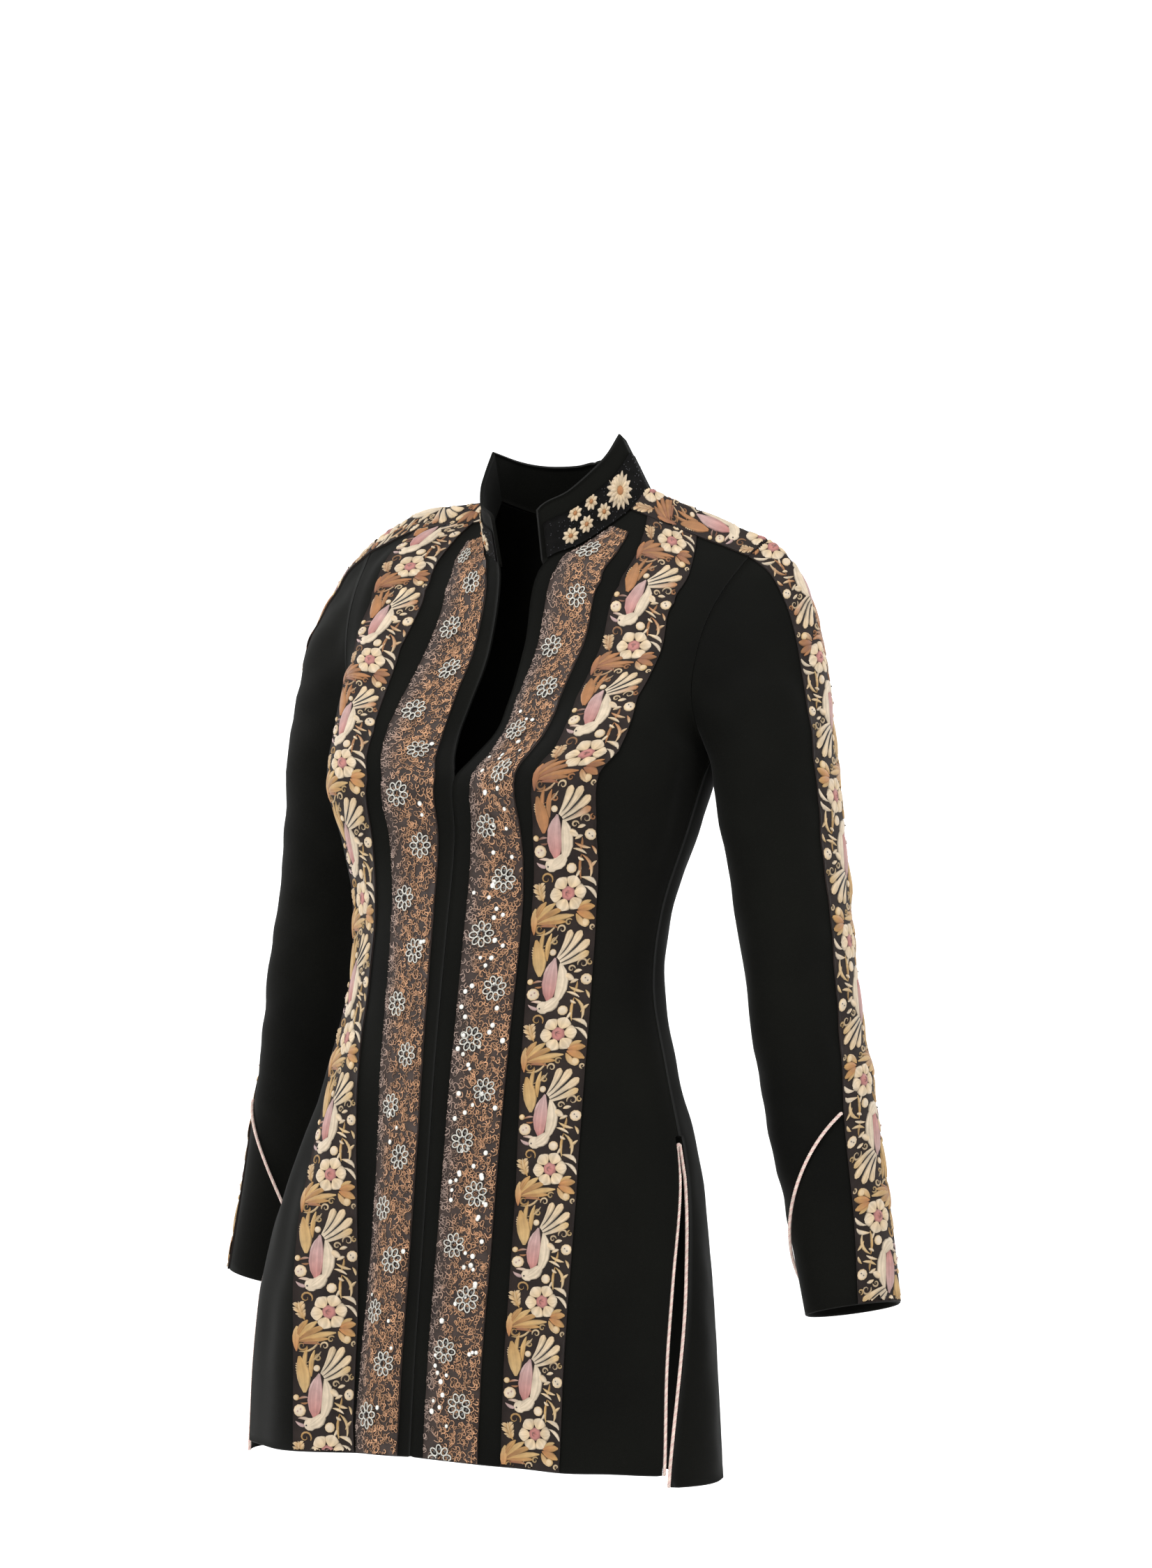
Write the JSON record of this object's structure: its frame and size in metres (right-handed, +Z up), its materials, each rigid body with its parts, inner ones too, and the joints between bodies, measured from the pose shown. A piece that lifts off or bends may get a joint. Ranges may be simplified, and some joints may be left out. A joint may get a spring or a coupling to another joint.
{
  "type": "tunic jacket",
  "caption": "Fitted black velvet tunic jacket, long sleeves, low stand collar, open front neck slit, side vents, embroidered floral and bird bands, gauze ribbons and corded edges.",
  "frame": {"origin": "middle of the neck at the height of the shoulder-neck points, where the jacket hangs from a wearer", "axes": "X to the wearer's left, Y to the back (the front faces -Y), Z up"},
  "size_m": [0.5912, 0.2673, 0.7654],
  "materials": {
    "velvet": "matte",
    "ribbon": "satin",
    "band": "satin",
    "patch": "satin",
    "piping": "satin"
  },
  "bodies": {
    "root": {"back_left": "velvet", "back_right": "velvet", "bird_band_left": "band", "bird_band_right": "band", "collar": "velvet", "collar_patch_left": "patch", "collar_patch_right": "patch", "cuff_left": "velvet", "cuff_piping_left_back": "piping", "cuff_piping_left_front": "piping", "cuff_piping_right_back": "piping", "cuff_piping_right_front": "piping", "cuff_right": "velvet", "front_left": "velvet", "front_right": "velvet", "ribbon_left": "ribbon", "ribbon_right": "ribbon", "shoulder_band_left": "band", "shoulder_band_right": "band", "sleeve_band_left": "band", "sleeve_band_right": "band", "sleeve_left_back": "velvet", "sleeve_left_front": "velvet", "sleeve_right_back": "velvet", "sleeve_right_front": "velvet", "vent_piping_left": "piping", "vent_piping_right": "piping"}
  },
  "joints": []
}
